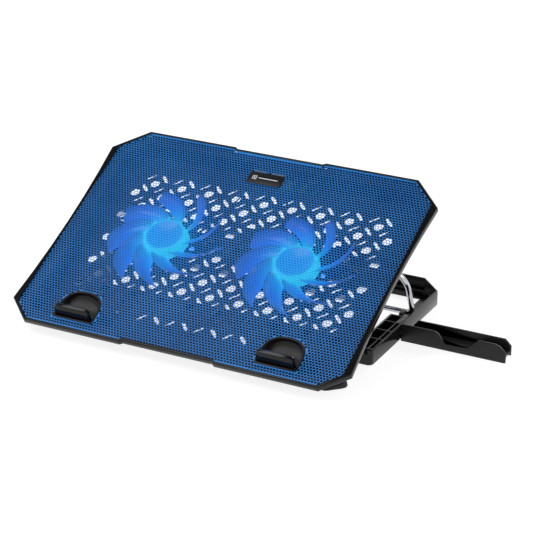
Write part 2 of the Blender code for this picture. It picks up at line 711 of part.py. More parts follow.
def make_base(parent):
    """The ring that lies on the desk, its ribs, hinge arms and lug."""
    outer, inner = base_outline(), base_opening()
    ring = solid("base_frame", prism(outer, BASE_BOTTOM, BASE_TOP), "gloss_black", parent)
    hole = prism(inner, BASE_BOTTOM - 4, BASE_TOP + 4)
    combine_with(ring, tool("base_hole", hole, parent), "DIFFERENCE")
    right = combine(*channel_cells())
    for name, shape in (("right", right), ("left", mirrored(right))):
        combine_with(ring, tool("cells_" + name, shape, parent), "DIFFERENCE")
    combine_with(ring, tool("rear_channel", rear_channel(), parent), "DIFFERENCE")
    combine_with(ring, tool("front_channel", combine(*front_channel()), parent), "DIFFERENCE")
    reach = ARM_INNER - 4
    lip = box((-reach, reach), (REAR_BAR_FRONT - 1, REAR_BAR_FRONT + 4),
              (BASE_FLOOR + REAR_LIP_HEIGHT, BASE_TOP + 3))
    combine_with(ring, tool("lip_cut", lip, parent), "DIFFERENCE")
    arms = combine(hinge_arm(-HINGE_X), hinge_arm(HINGE_X), holder_lug())
    combine_with(ring, tool("hinge_arms", arms, parent), "UNION")
    bore = prism(circle((HINGE_Y, HINGE_Z), PIN_RADIUS + GAP, 16), -120, 120, "x")
    eye = prism(circle(HOLDER_PIVOT, HOLDER_PIN_RADIUS + GAP, 16), -2, 8)
    combine_with(ring, tool("base_bores", combine(bore, eye), parent), "DIFFERENCE")


def make_base_feet(parent):
    """Four thin silicone discs."""
    places = ((-162, 100, "front_left"), (162, 100, "front_right"), (-162, 236, "rear_left"),
              (162, 236, "rear_right"))
    for x, y, name in places:
        disc = prism(circle((x, y), 6.0, 16), 0.0, BASE_BOTTOM - GAP)
        solid("base_foot_" + name, disc, "rubber", parent)


# ---------------------------------------------------------------- bail and its racks

def pad_point(v, drop, tilt):
    """Side-view position (y, z) of a point of the pad at any tilt in radians."""
    a, b = v - HINGE_V, HINGE_DROP - drop
    return (HINGE_Y + a * math.cos(tilt) - b * math.sin(tilt),
            HINGE_Z + a * math.sin(tilt) + b * math.cos(tilt))


def bail_geometry():
    """The bail's pivot, its length and its rest angle above the horizontal."""
    y, z = pad_point(BAIL_V, BAIL_DROP, TILT)
    dy, dz = BAIL_FOOT[0] - y, BAIL_FOOT[1] - z
    return (y, z), math.hypot(dy, dz), math.atan2(dz, dy)


def bail_foot_path(steps=120):
    """Where the foot bar goes while the pad folds flat, as (y, z) points."""
    _, length, rest = bail_geometry()
    folded = math.radians(BAIL_FOLDED_ANGLE)
    ratio = (folded - (rest - TILT)) / -TILT
    path = []
    for i in range(steps + 1):
        tilt = TILT * (1 - i / steps)
        y, z = pad_point(BAIL_V, BAIL_DROP, tilt)
        angle = tilt + (rest - TILT) + ratio * (tilt - TILT)
        path.append((y + length * math.cos(angle), z + length * math.sin(angle)))
    return path


def tooth_height(y):
    """Highest point that a rack tooth can have at y and still clear the foot bar."""
    lowest = BASE_TOP
    for py, pz in bail_foot_path():
        if abs(py - y) < WIRE_RADIUS + GAP:
            reach = math.sqrt((WIRE_RADIUS + GAP) ** 2 - (py - y) ** 2)
            lowest = min(lowest, pz - reach)
    return lowest


def make_rack(side, name, parent):
    """Notched strip in an arm's channel, with a tall stop in front of the bail's foot."""
    low = BASE_FLOOR + 0.1
    root = low + 0.4
    profile = [(RACK_FRONT + 0.5, low), (RACK_FRONT + 0.5, RACK_STOP_TOP), (187.5, RACK_STOP_TOP), (190.4, 10.0),
               (190.8, 6.6), (192.5, 5.6), (196.0, 5.2)]
    y = 201.5
    while y < 240:
        lowest = min(tooth_height(y + offset) for offset in (-0.6, 0.0, 0.6))
        top = lowest - GAP
        if top > root + 0.3:
            profile += [(y - 2.4, root), (y - 0.6, top), (y + 0.6, top), (y + 1.2, root)]
        y += 8.0
    profile += [(241.0, root), (241.0, low)]
    profile.reverse()
    shape = prism(profile, *RACK_X, "x")
    if side < 0:
        shape = mirrored(shape)
    solid("notch_rack_" + name, shape, "satin_black", parent)


def make_bail(parent):
    """One closed loop of wire: top bar, two shoulders, two legs and the foot bar."""
    (y, z), length, angle = bail_geometry()
    pivot = empty("bail_axis", (0, y, z), parent, angle)
    r, c = SHOULDER_RADIUS, BAIL_CORNER_RADIUS
    right = arc((BAIL_HALF - r, r), r, -90, 0, 8)
    right += arc((BAIL_HALF - c, length - c), c, 0, 90, 4)
    outline = right + [(-x, s) for x, s in reversed(right)]
    points = [(x, s, 0.0) for x, s in outline]
    tube("bail_wire", points, WIRE_RADIUS, "chrome", pivot, closed=True, resolution=3)


# ---------------------------------------------------------------- phone holder

def make_holder(parent):
    """Tray that swings on a pin at the right arm: two walls, a floor and a rubber strip."""
    px, py = HOLDER_PIVOT
    pivot = empty("holder_axis", (px, py, 0.0), parent)
    bottom, top = 0.4, 18.0
    front = [(HOLDER_START, bottom), (HOLDER_END - 0.3, bottom), (HOLDER_END, 10.6),
             (273.4, 16.6), (268.5, top), (252.2, top), (240.6, 7.0), (218.3, 7.0),
             (211.4, 16.2), (207.5, top), (HOLDER_START, top)]
    back = [(192.0, bottom), (277.8, bottom), (277.8, 10.0), (271.6, 16.2), (182.4, 16.0),
            (178.0, 10.6), (178.0, 4.2), (192.0, 4.2)]
    y0, y1 = HOLDER_FRONT, HOLDER_FRONT + HOLDER_DEPTH
    at = (-px, -py, 0.0)
    tray = solid("phone_holder", prism(front, y0, y0 + HOLDER_WALL, "y"), "satin_black", pivot, at)
    floor = [(173.0, y0 + 1.0), (277.6, y0 + 1.0), (277.6, y1 - 1.0), (178.6, y1 - 1.0),
             (175.0, y1 - 3.2), (173.0, y1 - 7.0)]
    floor_low = LUG_TOP + GAP
    extra = combine(prism(back, y1 - HOLDER_WALL, y1, "y"))
    combine_with(tray, tool("holder_floor", prism(floor, floor_low, floor_low + 2), pivot, at), "UNION")
    combine_with(tray, tool("holder_back", extra, pivot, at), "UNION")
    eye = prism(circle(HOLDER_PIVOT, HOLDER_PIN_RADIUS + GAP, 16), 0, 12)
    combine_with(tray, tool("holder_eye", eye, pivot, at), "DIFFERENCE")
    head = floor_low + 2 + GAP
    pin = [(0, BASE_BOTTOM + 0.2), (HOLDER_PIN_RADIUS, BASE_BOTTOM + 0.2), (HOLDER_PIN_RADIUS, head),
           (5.0, head), (5.0, head + 1.0), (4.2, head + 1.8), (0, head + 1.8)]
    solid("holder_pin", turned(pin, 16, HOLDER_PIVOT), "steel", parent)
    strip = box((198.0, 272.0), (y0 + 4, y1 - 4), (head, head + 1.0))
    solid("holder_grip", strip, "rubber", pivot, at)


def main():
    """Clear the scene and build every part."""
    for old in list(bpy.data.objects):
        bpy.data.objects.remove(old)
    root = empty("assembly", (-CENTRE_X, -CENTRE_Y, 0.0))
    pad = empty("pad_axis", (0.0, HINGE_Y, HINGE_Z), root, TILT)
    at = (0.0, -HINGE_V, HINGE_DROP)
    make_base(root)
    make_base_feet(root)
    make_bail(root)
    make_holder(root)
    make_top_frame(pad, at)
    make_mesh_panel(pad, at)
    make_bottom_cover(pad, at)
    make_pad_feet(pad, at)
    make_bail_clips(pad, at)
    make_controls(pad, at)
    make_badge(pad, at)
    for side, name in ((-1, "left"), (1, "right")):
        make_rack(side, name, root)
        make_hinge(side, name, pad, at)
        make_stopper(side, name, pad, at)
        make_fan(side, name, pad, at)


main()
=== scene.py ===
"""Looks of a laptop cooling pad.

A perforated blue sheet, a vented cover, fans, moulded plastic and chrome wire, on the CAD model's bodies. The fans
and the sheet round them carry a painted glow.
Lengths are metres. Pad coordinates are (u, v, w): u to the right from the pad's centre, v back from its
front edge and w up from its top face. PAD turns them into the shared frame.
"""

import json
import math

import bmesh
import bpy
from mathutils import Matrix, Vector
from mathutils.geometry import delaunay_2d_cdt


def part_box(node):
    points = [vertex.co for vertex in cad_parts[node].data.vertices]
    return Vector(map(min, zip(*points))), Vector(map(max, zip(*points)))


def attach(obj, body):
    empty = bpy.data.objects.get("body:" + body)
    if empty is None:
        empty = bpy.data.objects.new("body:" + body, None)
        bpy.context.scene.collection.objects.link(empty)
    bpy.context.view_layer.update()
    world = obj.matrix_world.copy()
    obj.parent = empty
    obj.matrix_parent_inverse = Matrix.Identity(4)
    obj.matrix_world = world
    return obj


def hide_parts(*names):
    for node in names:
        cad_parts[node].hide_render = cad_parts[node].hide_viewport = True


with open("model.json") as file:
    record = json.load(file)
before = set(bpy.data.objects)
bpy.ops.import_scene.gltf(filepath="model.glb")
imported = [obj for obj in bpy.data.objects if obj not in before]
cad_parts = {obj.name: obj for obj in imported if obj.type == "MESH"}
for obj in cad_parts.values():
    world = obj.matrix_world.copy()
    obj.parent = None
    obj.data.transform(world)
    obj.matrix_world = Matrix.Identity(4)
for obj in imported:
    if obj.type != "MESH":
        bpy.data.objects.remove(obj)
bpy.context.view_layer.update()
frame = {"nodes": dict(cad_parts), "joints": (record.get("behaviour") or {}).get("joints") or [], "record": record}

MM = 0.001
GAP = 0.3 * MM

# Pad, as in the CAD model
PAD_LENGTH = 0.365
PAD_DEPTH = 0.263
FRONT_CHAMFER = (0.0246, 0.0221)
REAR_CHAMFER = (0.0316, 0.0298)
SIDE_PINCH = 0.0045
RECESS_HALF = 0.048
RECESS_DEPTH = 0.002
RECESS_RAMP = 0.003
HINGE_V = 0.045
HINGE_DROP = 0.0305
MESH_TOP = -0.0013
MESH_THICKNESS = 0.00025
MESH_EDGE = 0.0019

# Stopper pockets. POCKET_SHAPE is the exponent of the domed outline. POCKET_REACH is a half width and a depth
# that hold a whole pocket. SCOOP is the rise of the floor behind a folded stopper.
STOPPER_U = 0.1095
POCKET_FLOOR = -0.0085
POCKET_HALF = 0.0213
POCKET_MIDDLE = 0.0240
POCKET_RISE = 0.0225
POCKET_SHAPE = 2 / 2.45
POCKET_REACH = (0.026, 0.050)
SCOOP_START = 0.0315
SCOOP_LENGTH = 0.0135
SCOOP_RISE = 0.0048

# Perforations of the sheet
HOLE_PITCH = 0.0032
HOLE_ROW = 0.00296
HOLE_RADIUS = 0.00144
HOLE_SIDES = 12
SHEET_PIECES = 4

# Air slots in the bottom cover
VENT_PITCH = 0.0157
VENT_HALF_WIDTH = 0.144
VENT_FRONT = 0.043
VENT_REAR = 0.224
VENT_FIRST_ROW = 0.055
DOT_RADIUS = 0.0053
BAR_LENGTH = 0.0132
BAR_WIDTH = 0.0034
SLOT_V = 0.1575
SLOT_HALF = 0.0011
SLOT_ENDS = ((-0.139, -0.100), (-0.044, -0.003), (0.003, 0.044), (0.100, 0.139))
COVER_BOTTOM = -0.022
COVER_FLOOR = -0.020
CUT_MARGIN = 0.002

# Places on the cover's floor that stay solid. A BLOCK is a half width and a rear end.
MOTOR_RADIUS = 0.0225
LAMP_OFFSET = 0.027
LAMP_RADIUS = 0.0035
POCKET_BLOCK = (0.0245, 0.048)
BRACKET_U = 0.095
BRACKET_BLOCK = (0.019, 0.054)

# Fans
FAN_U = 0.072
FAN_V = 0.138
FAN_RADIUS = 0.060
HUB_RADIUS = 0.023
HUB_TOP_RADIUS = 0.0204
HUB_TOP = -0.0040
HUB_BOTTOM = -0.0164
BLADE_HIGH = -0.0038
BLADE_LOW = -0.0169
BLADE_COUNT = 9
BLADE_SWEEP = 42.0
BLADE_THICKNESS = 0.0014
BLADE_HALF_WIDTH = 0.0070
BLADE_BULGE = 0.0026
BLADE_TAPER = 0.0008
BLADE_TIP = 0.9
HUB_WALL = 0.0018
HUB_DISH = 0.0008
HUB_ROUND = 0.0016

# Wire bail
WIRE_RADIUS = 0.0027
SHOULDER_RADIUS = 0.030
BAIL_CORNER_RADIUS = 0.009

# Badge and its printed mark
BADGE_THICKNESS = 0.0008
PRINT_THICKNESS = 0.00004
MARK_PLACE = (-0.0130, 0.228)
MARK_HALF = 0.0024
MARK_LINE = 0.0007
MARK_DOT = 0.0008
MARK_BAR = (-0.0085, 0.0125, -0.0004, 0.0006)

# Camera
CAMERA_PLACE = (0.80058, -1.54625, 0.81543)
CAMERA_AZIMUTH = 27.68
CAMERA_ELEVATION = 23.49
CAMERA_LENS = 132.3
SENSOR_WIDTH = 36.0

# Floor, surroundings and lights: each light has a name, place, size and power
FLOOR_HALF = 14.0
FLOOR_DROP = 0.0002
FLOOR_COLOUR = (0.30, 0.30, 0.305, 1.0)
FLOOR_GLOW = 0.84
SKY_STOPS = ((0.30, 1.0), (0.72, 0.16))
SKY_STRENGTH = 0.95
LIGHT_TARGET = (0.0, 0.0, 0.05)
LIGHTS = (("key", (-0.9, -0.7, 1.7), (1.2, 1.2), 16.0),
          ("rim", (0.6, 1.6, 1.3), (1.6, 0.7), 14.0),
          ("side", (1.8, -0.2, 0.7), (0.8, 0.8), 7.0))

# Shader values that all materials share
COAT_ROUGHNESS = 0.08
SURFACE_IOR = 1.5
NOISE_ROUGHNESS = 0.55

JOINTS = {joint["name"]: joint for joint in frame["joints"]}
TILT = -math.radians(JOINTS["pad_tilt"]["range_deg"][0])
PAD = (Matrix.Translation(Vector(JOINTS["pad_tilt"]["pos_m"])) @ Matrix.Rotation(TILT, 4, "X")
       @ Matrix.Translation((0.0, -HINGE_V, HINGE_DROP)))


# ---------------------------------------------------------------- node materials

class Paint:
    """Builds one node material."""

    def __init__(self, name, roughness, metallic=0.0, coat=0.0):
        self.material = bpy.data.materials.new(name)
        self.material.use_nodes = True
        self.tree = self.material.node_tree
        self.shader = self.tree.nodes["Principled BSDF"]
        self.shader.inputs["Roughness"].default_value = roughness
        self.shader.inputs["Metallic"].default_value = metallic
        self.shader.inputs["Coat Weight"].default_value = coat
        self.shader.inputs["Coat Roughness"].default_value = COAT_ROUGHNESS
        self.shader.inputs["IOR"].default_value = SURFACE_IOR
        self.place = self.node("ShaderNodeTexCoord").outputs["Object"]

    def node(self, kind, **settings):
        """A new node with some of its settings."""
        made = self.tree.nodes.new(kind)
        for key, value in settings.items():
            setattr(made, key, value)
        return made

    def link(self, source, target):
        """Join an output to an input."""
        self.tree.links.new(source, target)

    def noise(self, scale, detail=4.0, stretch=(1.0, 1.0, 1.0)):
        """Noise in object space; scale is in features per metre."""
        mapping = self.node("ShaderNodeMapping")
        mapping.inputs["Scale"].default_value = stretch
        self.link(self.place, mapping.inputs["Vector"])
        made = self.node("ShaderNodeTexNoise")
        made.inputs["Scale"].default_value = scale
        made.inputs["Detail"].default_value = detail
        made.inputs["Roughness"].default_value = NOISE_ROUGHNESS
        self.link(mapping.outputs["Vector"], made.inputs["Vector"])
        return made.outputs["Fac"]

    def ramp(self, source, *stops):
        """Colour ramp with (position, colour) stops."""
        made = self.node("ShaderNodeValToRGB")
        elements = made.color_ramp.elements
        while len(elements) < len(stops):
            elements.new(0.5)
        for element, (position, colour) in zip(elements, stops):
            element.position = position
            element.color = (*colour, 1.0)
        self.link(source, made.inputs["Fac"])
        return made.outputs["Color"]

    def spread(self, source, low, high, first=0.0, last=1.0):
        """Map first..last to low..high, and hold it there outside that range."""
        made = self.node("ShaderNodeMapRange")
        made.inputs["From Min"].default_value = first
        made.inputs["From Max"].default_value = last
        made.inputs["To Min"].default_value = low
        made.inputs["To Max"].default_value = high
        self.link(source, made.inputs["Value"])
        return made.outputs["Result"]

    def calculate(self, operation, first, second):
        """The result of a math node for two values."""
        made = self.node("ShaderNodeMath", operation=operation)
        self.link(first, made.inputs[0])
        self.link(second, made.inputs[1])
        return made.outputs["Value"]

    def rough(self, source, low, high):
        """Roughness that varies between two values."""
        self.link(self.spread(source, low, high), self.shader.inputs["Roughness"])

    def colour(self, source):
        """Base colour."""
        self.link(source, self.shader.inputs["Base Color"])

    def glow(self, source, strength):
        """Emitted colour, and its strength."""
        self.link(source, self.shader.inputs["Emission Color"])
        self.shader.inputs["Emission Strength"].default_value = strength

    def bump(self, source, height):
        """Surface relief of a given height."""
        made = self.node("ShaderNodeBump")
        made.inputs["Distance"].default_value = height
        self.link(source, made.inputs["Height"])
        self.link(made.outputs["Normal"], self.shader.inputs["Normal"])


def shade(colour, factor):
    """A colour made lighter or darker."""
    return tuple(min(1.0, c * factor) for c in colour)


def plastic(name, colour, low, high, grain, height, coat=0.0, specular=0.3):
    """Moulded plastic: slight tone change, roughness from low to high, and a fine surface texture."""
    paint = Paint(name, low, coat=coat)
    paint.shader.inputs["Specular IOR Level"].default_value = specular
    cloud = paint.noise(45.0, 3.0)
    paint.colour(paint.ramp(cloud, (0.3, shade(colour, 0.8)), (0.7, shade(colour, 1.25))))
    paint.rough(paint.noise(160.0, 5.0), low, high)
    paint.bump(paint.noise(grain, 6.0), height)
    return paint.material


def metal(name, colour, low, high, stretch=(1.0, 1.0, 1.0), grain=900.0, height=0.00001):
    """Bare metal with roughness from low to high, and fine streaks along the axis with the least stretch."""
    paint = Paint(name, low, metallic=1.0)
    streaks = paint.noise(grain, 5.0, stretch)
    paint.colour(paint.ramp(streaks, (0.25, shade(colour, 0.85)), (0.75, shade(colour, 1.08))))
    paint.rough(streaks, low, high)
    paint.bump(streaks, height)
    return paint.material


def painted_sheet():
    """Blue coated perforated steel with slight orange peel, and a painted glow round each fan's centre that stands
    in for the fans' light.
    """
    paint = Paint("mesh_blue_coat", 0.35, metallic=0.15, coat=0.35)
    cloud = paint.noise(18.0, 3.0)
    paint.colour(paint.ramp(cloud, (0.25, (0.014, 0.205, 0.66)), (0.75, (0.030, 0.315, 0.90))))
    # Painted glow: the sheet emits a blue ramp that fades with distance from the nearer fan's centre.
    near = []
    for side in (-1, 1):
        gap = paint.node("ShaderNodeVectorMath", operation="DISTANCE")
        paint.link(paint.place, gap.inputs[0])
        gap.inputs[1].default_value = PAD @ Vector((side * FAN_U, FAN_V, MESH_TOP))
        near.append(gap.outputs["Value"])
    reach = paint.spread(paint.calculate("MINIMUM", *near), 0.0, 1.0, 0.0, FAN_RADIUS)
    light = paint.ramp(reach, (0.0, (0.004, 0.40, 0.62)), (0.30, (0.004, 0.46, 0.70)),
                       (0.42, (0.002, 0.24, 0.52)), (0.62, (0.0, 0.05, 0.26)), (0.95, (0.0, 0.0, 0.0)))
    paint.glow(light, 0.5)
    paint.rough(paint.noise(700.0, 3.0), 0.28, 0.46)
    paint.bump(paint.noise(1400.0, 2.0), 0.00002)
    return paint.material


def lit_fan():
    """Translucent blue plastic with a painted glow that stands in for the lamps below it: brightest round the hub,
    royal blue at the tips.
    """
    paint = Paint("fan_glow", 0.3, coat=0.2)
    split = paint.node("ShaderNodeSeparateXYZ")
    paint.link(paint.place, split.inputs["Vector"])
    flat = paint.node("ShaderNodeCombineXYZ")
    paint.link(split.outputs["X"], flat.inputs["X"])
    paint.link(split.outputs["Y"], flat.inputs["Y"])
    length = paint.node("ShaderNodeVectorMath", operation="LENGTH")
    paint.link(flat.outputs["Vector"], length.inputs[0])
    reach = paint.spread(length.outputs["Value"], 0.0, 1.0, 0.0, FAN_RADIUS)
    hub = HUB_RADIUS / FAN_RADIUS
    # Painted glow colour by distance from the axle: cyan round the hub, royal blue at the tips.
    light = paint.ramp(reach, (0.0, (0.006, 0.18, 0.60)), (hub * 0.74, (0.008, 0.23, 0.68)),
                       (hub * 0.90, (0.04, 0.92, 1.0)), (hub * 1.14, (0.010, 0.42, 1.0)),
                       (0.70, (0.018, 0.17, 0.92)), (1.0, (0.040, 0.11, 0.56)))
    # Painted glow: the blades are dim near the sheet and bright near the lamps, and the hub glows all over
    blades = paint.spread(split.outputs["Z"], 0.22, 1.15, BLADE_HIGH, BLADE_LOW)
    core = paint.spread(reach, 0.82, 0.0, hub * 0.98, hub * 1.15)
    painted_glow = paint.node("ShaderNodeVectorMath", operation="SCALE")
    paint.link(light, painted_glow.inputs[0])
    paint.link(paint.calculate("MAXIMUM", blades, core), painted_glow.inputs["Scale"])
    cloud = paint.noise(60.0, 3.0)
    paint.colour(paint.ramp(cloud, (0.3, (0.006, 0.045, 0.22)), (0.7, (0.012, 0.075, 0.34))))
    paint.glow(painted_glow.outputs["Vector"], 0.8)
    paint.rough(paint.noise(300.0, 4.0), 0.22, 0.4)
    paint.bump(paint.noise(900.0, 3.0), 0.00002)
    return paint.material


def lamp_glow():
    """Lit lens of a small lamp."""
    paint = Paint("led_glow", 0.2)
    cloud = paint.noise(900.0, 2.0)
    paint.colour(paint.ramp(cloud, (0.3, (0.6, 0.8, 1.0)), (0.7, (0.9, 0.95, 1.0))))
    paint.shader.inputs["Emission Color"].default_value = (0.02, 0.25, 1.0, 1.0)
    paint.shader.inputs["Emission Strength"].default_value = 0.6
    return paint.material


def circuit_board():
    """Dark green solder mask with darker and lighter traces."""
    paint = Paint("board_mask", 0.35, coat=0.4)
    wave = paint.node("ShaderNodeTexWave", wave_type="BANDS", bands_direction="X")
    wave.inputs["Scale"].default_value = 260.0
    wave.inputs["Distortion"].default_value = 6.0
    paint.link(paint.place, wave.inputs["Vector"])
    traces = wave.outputs["Fac"]
    paint.colour(paint.ramp(traces, (0.45, (0.004, 0.028, 0.013)), (0.55, (0.008, 0.060, 0.026))))
    paint.rough(paint.noise(500.0), 0.3, 0.5)
    paint.bump(traces, 0.00003)
    return paint.material


def white_print():
    """Printed white ink."""
    paint = Paint("white_ink", 0.5)
    cloud = paint.noise(1500.0, 3.0)
    paint.colour(paint.ramp(cloud, (0.3, (0.68, 0.69, 0.7)), (0.7, (0.85, 0.86, 0.87))))
    paint.rough(cloud, 0.4, 0.6)
    return paint.material


SLOT_MATERIAL = {
    "gloss_black": plastic("polished_abs", (0.004, 0.004, 0.0045), 0.10, 0.22, 500.0, 0.00001,
                           coat=0.15, specular=0.22),
    "satin_black": plastic("moulded_abs", (0.006, 0.006, 0.007), 0.30, 0.46, 2600.0, 0.00004),
    "rubber": plastic("silicone", (0.009, 0.009, 0.010), 0.62, 0.86, 3200.0, 0.00006),
    "wire_black": plastic("wire_jacket", (0.012, 0.012, 0.013), 0.35, 0.5, 1500.0, 0.00003),
    "chrome": metal("chrome_plate", (0.50, 0.51, 0.53), 0.05, 0.13, grain=260.0, height=0.000004),
    "steel": metal("plain_steel", (0.52, 0.52, 0.53), 0.24, 0.42, (0.1, 1.0, 1.0)),
    "copper": metal("enamelled_copper", (0.66, 0.27, 0.12), 0.25, 0.45, (1.0, 1.0, 8.0), 600.0, 0.00005),
    "brass": metal("sintered_bronze", (0.6, 0.42, 0.2), 0.35, 0.55, grain=1800.0, height=0.00003),
    "mesh_blue": painted_sheet(),
    "fan_blue": lit_fan(),
    "led_white": lamp_glow(),
    "board_green": circuit_board(),
}
SLOT_OF = {part["node"]: part["material_slot"] for part in frame["record"]["subparts"]}
BODIES = frame["record"]["behaviour"]["bodies"]
BODY_OF = {node: body for body, nodes in BODIES.items() for node in nodes}


# ---------------------------------------------------------------- mesh helpers

def smooth(mesh, angle):
    """Shade smooth, with edges sharper than an angle in degrees kept sharp."""
    mesh.shade_smooth()
    mesh.set_sharp_from_angle(angle=math.radians(angle))


def piece(name, mesh, slot, body, *nodes, finish=None, place=None):
    """Put a finished mesh on its body in place of CAD nodes.

    The mesh is in the shared frame, or in the frame that place gives.
    """
    made = bpy.data.objects.new(name, mesh)
    bpy.context.scene.collection.objects.link(made)
    if place is not None:
        made.matrix_world = place
    mesh.materials.clear()
    mesh.materials.append(finish or SLOT_MATERIAL[slot])
    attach(made, body)
    if nodes:
        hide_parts(*nodes)


def mesh_from(name, vertices, faces, matrix=None):
    """A mesh from lists, moved by a matrix, with its faces turned out."""
    mesh = bpy.data.meshes.new(name)
    mesh.from_pydata([tuple(v) for v in vertices], [], faces)
    work = bmesh.new()
    work.from_mesh(mesh)
    bmesh.ops.recalc_face_normals(work, faces=work.faces)
    work.to_mesh(mesh)
    work.free()
    if matrix is not None:
        mesh.transform(matrix)
    return mesh


def loft(loops, ring=False):
    """Join loops of equal length, with a cap on each end or, as a ring, the last to the first."""
    count = len(loops[0])
    vertices = [point for loop in loops for point in loop]
    faces = []
    for i in range(len(loops) if ring else len(loops) - 1):
        a, b = i * count, ((i + 1) % len(loops)) * count
        for j in range(count):
            k = (j + 1) % count
            faces.append((a + j, a + k, b + k, b + j))
    if not ring:
        faces.append(tuple(reversed(range(count))))
        faces.append(tuple(range((len(loops) - 1) * count, len(loops) * count)))
    return vertices, faces


def joined(*shapes):
    """Put several shapes into one vertex and face list."""
    vertices, faces = [], []
    for shape in shapes:
        offset = len(vertices)
        vertices.extend(shape[0])
        faces.extend(tuple(i + offset for i in face) for face in shape[1])
    return vertices, faces


def inset(outline, distances):
    """Move each edge of a counter-clockwise outline inwards by its own distance."""
    lines = []
    for (x0, y0), (x1, y1), distance in zip(outline, outline[1:] + outline[:1], distances):
        length = math.hypot(x1 - x0, y1 - y0)
        dx, dy = (x1 - x0) / length, (y1 - y0) / length
        lines.append((x0 - dy * distance, y0 + dx * distance, dx, dy))
    points = []
    for i in range(len(outline)):
        x0, y0, dx0, dy0 = lines[i - 1]
        x1, y1, dx1, dy1 = lines[i]
        cross = dx0 * dy1 - dy0 * dx1
        if abs(cross) > 1e-6:
            t = ((x1 - x0) * dy1 - (y1 - y0) * dx1) / cross
            points.append((x0 + t * dx0, y0 + t * dy0))
        else:
            points.append((x1, y1))
    return points


def with_cut_corners(outline):
    """A closed outline with each corner cut off, a quarter of an edge from it."""
    cut = []
    for (x0, y0), (x1, y1) in zip(outline, outline[1:] + outline[:1]):
        cut.append((0.75 * x0 + 0.25 * x1, 0.75 * y0 + 0.25 * y1))
        cut.append((0.25 * x0 + 0.75 * x1, 0.25 * y0 + 0.75 * y1))
    return cut


def inside(point, outline):
    """True if a point lies within a closed outline."""
    x, y = point
    result = False
    for (x0, y0), (x1, y1) in zip(outline, outline[1:] + outline[:1]):
        if (y0 > y) != (y1 > y) and x < (x1 - x0) * (y - y0) / (y1 - y0) + x0:
            result = not result
    return result


def cad_copy(node):
    """The CAD node's mesh as a clean copy: doubled points merged and flat areas joined."""
    mesh = frame["nodes"][node].data.copy()
    work = bmesh.new()
    work.from_mesh(mesh)
    bmesh.ops.remove_doubles(work, verts=work.verts, dist=0.000002)
    bmesh.ops.dissolve_limit(work, angle_limit=math.radians(0.6), verts=work.verts, edges=work.edges)
    work.to_mesh(mesh)
    work.free()
    if "custom_normal" in mesh.attributes:
        mesh.attributes.remove(mesh.attributes["custom_normal"])
    return mesh


def evaluated(mesh, kind, settings):
    """The mesh after one modifier."""
    holder = bpy.data.objects.new("work", mesh)
    bpy.context.scene.collection.objects.link(holder)
    modifier = holder.modifiers.new(kind.lower(), kind)
    for key, value in settings.items():
        setattr(modifier, key, value)
    graph = bpy.context.evaluated_depsgraph_get()
    result = bpy.data.meshes.new_from_object(holder.evaluated_get(graph))
    bpy.data.objects.remove(holder)
    return result


def softened(node, width, segments=2):
    """A copy of a CAD node with its edges rounded, as a mould rounds them.

    Its large faces are triangulated, because a concave one may be split badly by others.
    """
    bevel = {"width": width, "segments": segments, "limit_method": "ANGLE",
             "angle_limit": math.radians(30.0), "use_clamp_overlap": True, "harden_normals": False}
    mesh = evaluated(cad_copy(node), "BEVEL", bevel)
    work = bmesh.new()
    work.from_mesh(mesh)
    bmesh.ops.triangulate(work, faces=[face for face in work.faces if len(face.verts) > 4])
    work.to_mesh(mesh)
    work.free()
    smooth(mesh, 40.0)
    piece(node + "_shell", mesh, SLOT_OF[node], BODY_OF[node], node)


# ---------------------------------------------------------------- perforated sheet

def pad_outline(distance):
    """The pad's outline, moved inwards."""
    half = PAD_LENGTH / 2
    steps = 6
    low, high = FRONT_CHAMFER[1], PAD_DEPTH - REAR_CHAMFER[1]
    side = []
    for i in range(steps + 1):
        t = -1 + 2 * i / steps
        side.append((half - SIDE_PINCH * (1 - t * t), low + (high - low) * i / steps))
    notch = [(-RECESS_HALF - RECESS_RAMP, 0.0), (-RECESS_HALF, RECESS_DEPTH),
             (RECESS_HALF, RECESS_DEPTH), (RECESS_HALF + RECESS_RAMP, 0.0)]
    points = [(-half + FRONT_CHAMFER[0], 0.0)] + notch + [(half - FRONT_CHAMFER[0], 0.0)] + side
    points += [(half - REAR_CHAMFER[0], PAD_DEPTH)] + [(u, PAD_DEPTH - v) for u, v in reversed(notch)]
    points += [(-half + REAR_CHAMFER[0], PAD_DEPTH)] + [(-u, v) for u, v in reversed(side)]
    return inset(points, [distance] * len(points))


def pocket_outline(grow):
    """Outline of a stopper's pocket: flat at the front and domed at the rear."""
    side = [(0.0205, 0.0125), (0.0213, 0.0165)]
    steps = 14
    for i in range(steps + 1):
        angle = math.pi / 2 * i / steps
        side.append((POCKET_HALF * math.cos(angle) ** POCKET_SHAPE,
                     POCKET_MIDDLE + POCKET_RISE * math.sin(angle) ** POCKET_SHAPE))
    points = side + [(-u, v) for u, v in reversed(side[:-1])]
    return inset(points, [-grow] * len(points))


def moved(outline, du):
    """Shift a flat outline sideways."""
    return [(u + du, v) for u, v in outline]


def cell_centres(outline, pockets):
    """Centres of the cells that fit in the sheet, by their (column, row) in the lattice."""
    corners = cell_corners()
    kept = {}
    columns = int(PAD_LENGTH / HOLE_PITCH / 2) + 1
    for row in range(int(PAD_DEPTH / HOLE_ROW) + 1):
        v = row * HOLE_ROW
        for column in range(-columns, columns + 1):
            u = (column + 0.5 * (row % 2)) * HOLE_PITCH
            points = [(u + du, v + dv) for du, dv in corners]
            near_pocket = abs(abs(u) - STOPPER_U) < POCKET_REACH[0] and v < POCKET_REACH[1]
            if not all(inside(p, outline) for p in points):
                continue
            if near_pocket and any(inside(p, pocket) for p in points for pocket in pockets):
                continue
            kept[(column, row)] = (u, v)
    return kept


def cell_corners():
    """Corners of one six-sided cell, counter-clockwise from the top."""
    half, third = HOLE_PITCH / 2, HOLE_ROW / 3
    return [(0, 2 * third), (-half, third), (-half, -third),
            (0, -2 * third), (half, -third), (half, third)]


